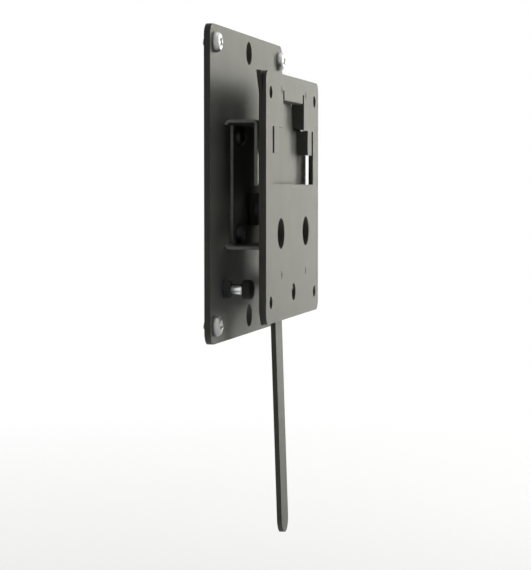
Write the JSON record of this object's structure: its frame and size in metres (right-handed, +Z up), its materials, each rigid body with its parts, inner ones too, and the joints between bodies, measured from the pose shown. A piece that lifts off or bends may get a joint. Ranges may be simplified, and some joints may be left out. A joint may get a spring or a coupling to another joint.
{
  "type": "fixed tv wall mount",
  "caption": "Slim fixed wall mount: a screwed wall plate with a hook carries a lift-off display plate, locked by a sprung release lever that hangs below it.",
  "frame": {"origin": "centre of the wall plate's back face, on the wall", "axes": "+Z up, +Y into the wall, the display hangs towards -Y, +X to the right as seen from the room"},
  "size_m": [0.15, 0.0286, 0.2508],
  "materials": {
    "plate_paint": "fine textured powder coat",
    "screw_steel": "zinc plated",
    "spring_steel": "drawn wire",
    "post_chrome": "bright",
    "nut_steel": "blackened",
    "tip_rubber": "matte"
  },
  "bodies": {
    "wall": {"wall_plate": "plate_paint", "wall_screws": "screw_steel", "spacer_channel": "plate_paint", "channel_screws": "nut_steel", "hook_plate": "plate_paint", "hook_rivets": "plate_paint", "pivot_bracket": "plate_paint", "bracket_rivets": "nut_steel", "pivot_pin": "nut_steel", "pin_clip": "spring_steel", "return_spring": "spring_steel", "bumper_posts": "post_chrome", "bumper_nuts": "nut_steel", "bumper_tips": "tip_rubber"},
    "lever": {"release_lever": "plate_paint", "latch_pin": "nut_steel"},
    "display": {"display_plate": "plate_paint", "hanger_plate": "plate_paint", "plate_rivets": "plate_paint"}
  },
  "joints": [
    {"name": "lever_swing", "type": "hinge", "parent": "wall", "child": "lever", "pos_m": [0, -0.0119, -0.012], "axis": [1, 0, 0], "range_deg": [0, 6], "stiffness_Nm_per_rad": 0.4, "springref_deg": -11.46, "deforming": ["return_spring"]},
    {"name": "display_lift", "type": "slide", "parent": "wall", "child": "display", "axis": [0, 0, 1], "range_m": [0, 0.0038]}
  ]
}
